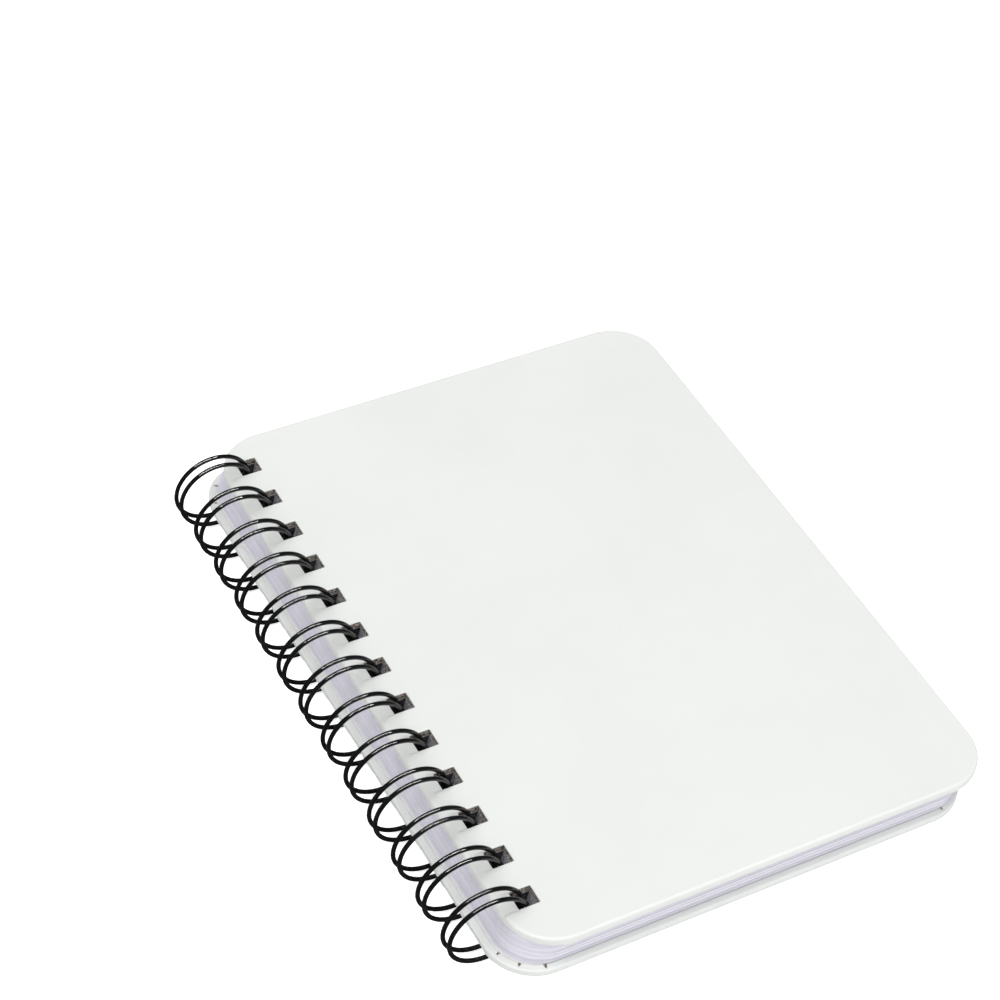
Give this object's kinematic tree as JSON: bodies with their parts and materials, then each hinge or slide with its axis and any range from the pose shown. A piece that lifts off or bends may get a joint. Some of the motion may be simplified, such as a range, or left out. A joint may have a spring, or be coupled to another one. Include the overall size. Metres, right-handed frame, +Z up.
{
  "type": "pocket notebook",
  "caption": "Closed hardcover notebook with padded round-cornered covers, ruled sheets and a twin-loop wire binding along one edge.",
  "frame": {"origin": "under the middle of the bounding box, at the height of the lowest point of the wire loops", "axes": "+X from the spine to the fore-edge, +Y along the spine away from the reader's end, +Z up out of the front cover"},
  "size_m": [0.1424, 0.1786, 0.0215],
  "materials": {
    "cover_skin": "smooth matt leatherette",
    "padding": "thin soft foam sheet",
    "greyboard": "dense recycled board",
    "endpaper": "uncoated",
    "paper": "uncoated, ruled in thin grey lines",
    "wire": "satin black coated steel wire"
  },
  "bodies": {
    "back_cover": {"back_wrap": "cover_skin", "back_padding": "padding", "back_board": "greyboard", "back_liner": "endpaper"},
    "front_cover": {"front_wrap": "cover_skin", "front_padding": "padding", "front_board": "greyboard", "front_liner": "endpaper"},
    "wire": {"wire_binding": "wire"},
    "pages_01": {"pages_01": "paper"},
    "pages_02": {"pages_02": "paper"},
    "pages_03": {"pages_03": "paper"},
    "pages_04": {"pages_04": "paper"},
    "pages_05": {"pages_05": "paper"},
    "pages_06": {"pages_06": "paper"},
    "pages_07": {"pages_07": "paper"},
    "pages_08": {"pages_08": "paper"},
    "pages_09": {"pages_09": "paper"},
    "pages_10": {"pages_10": "paper"},
    "pages_11": {"pages_11": "paper"},
    "pages_12": {"pages_12": "paper"}
  },
  "joints": [
    {"name": "front_cover_turn", "type": "hinge", "parent": "back_cover", "child": "front_cover", "pos_m": [-0.06046, 0, 0.01077], "axis": [0, -1, 0], "range_deg": [0, 180]},
    {"name": "wire_turn", "type": "hinge", "parent": "back_cover", "child": "wire", "pos_m": [-0.06046, 0, 0.01077], "axis": [0, -1, 0], "range_deg": [-15, 8]},
    {"name": "pages_01_turn", "type": "hinge", "parent": "back_cover", "child": "pages_01", "pos_m": [-0.06046, 0, 0.01077], "axis": [0, -1, 0], "range_deg": [0, 178.93]},
    {"name": "pages_02_turn", "type": "hinge", "parent": "back_cover", "child": "pages_02", "pos_m": [-0.06046, 0, 0.01077], "axis": [0, -1, 0], "range_deg": [0, 177.85]},
    {"name": "pages_03_turn", "type": "hinge", "parent": "back_cover", "child": "pages_03", "pos_m": [-0.06046, 0, 0.01077], "axis": [0, -1, 0], "range_deg": [0, 176.77]},
    {"name": "pages_04_turn", "type": "hinge", "parent": "back_cover", "child": "pages_04", "pos_m": [-0.06046, 0, 0.01077], "axis": [0, -1, 0], "range_deg": [0, 175.69]},
    {"name": "pages_05_turn", "type": "hinge", "parent": "back_cover", "child": "pages_05", "pos_m": [-0.06046, 0, 0.01077], "axis": [0, -1, 0], "range_deg": [0, 174.61]},
    {"name": "pages_06_turn", "type": "hinge", "parent": "back_cover", "child": "pages_06", "pos_m": [-0.06046, 0, 0.01077], "axis": [0, -1, 0], "range_deg": [0, 173.53]},
    {"name": "pages_07_turn", "type": "hinge", "parent": "back_cover", "child": "pages_07", "pos_m": [-0.06046, 0, 0.01077], "axis": [0, -1, 0], "range_deg": [0, 6.49]},
    {"name": "pages_08_turn", "type": "hinge", "parent": "back_cover", "child": "pages_08", "pos_m": [-0.06046, 0, 0.01077], "axis": [0, -1, 0], "range_deg": [0, 5.41]},
    {"name": "pages_09_turn", "type": "hinge", "parent": "back_cover", "child": "pages_09", "pos_m": [-0.06046, 0, 0.01077], "axis": [0, -1, 0], "range_deg": [0, 4.33]},
    {"name": "pages_10_turn", "type": "hinge", "parent": "back_cover", "child": "pages_10", "pos_m": [-0.06046, 0, 0.01077], "axis": [0, -1, 0], "range_deg": [0, 3.25]},
    {"name": "pages_11_turn", "type": "hinge", "parent": "back_cover", "child": "pages_11", "pos_m": [-0.06046, 0, 0.01077], "axis": [0, -1, 0], "range_deg": [0, 2.17]},
    {"name": "pages_12_turn", "type": "hinge", "parent": "back_cover", "child": "pages_12", "pos_m": [-0.06046, 0, 0.01077], "axis": [0, -1, 0], "range_deg": [0, 1.09]}
  ],
  "couplings": [
    {"joint": "pages_01_turn", "follows": "front_cover_turn", "ratio": 0.994},
    {"joint": "pages_02_turn", "follows": "front_cover_turn", "ratio": 0.988},
    {"joint": "pages_03_turn", "follows": "front_cover_turn", "ratio": 0.982},
    {"joint": "pages_04_turn", "follows": "front_cover_turn", "ratio": 0.976},
    {"joint": "pages_05_turn", "follows": "front_cover_turn", "ratio": 0.97},
    {"joint": "pages_06_turn", "follows": "front_cover_turn", "ratio": 0.964},
    {"joint": "pages_07_turn", "follows": "front_cover_turn", "ratio": 0.036},
    {"joint": "pages_08_turn", "follows": "front_cover_turn", "ratio": 0.03},
    {"joint": "pages_09_turn", "follows": "front_cover_turn", "ratio": 0.024},
    {"joint": "pages_10_turn", "follows": "front_cover_turn", "ratio": 0.018},
    {"joint": "pages_11_turn", "follows": "front_cover_turn", "ratio": 0.012},
    {"joint": "pages_12_turn", "follows": "front_cover_turn", "ratio": 0.006}
  ]
}
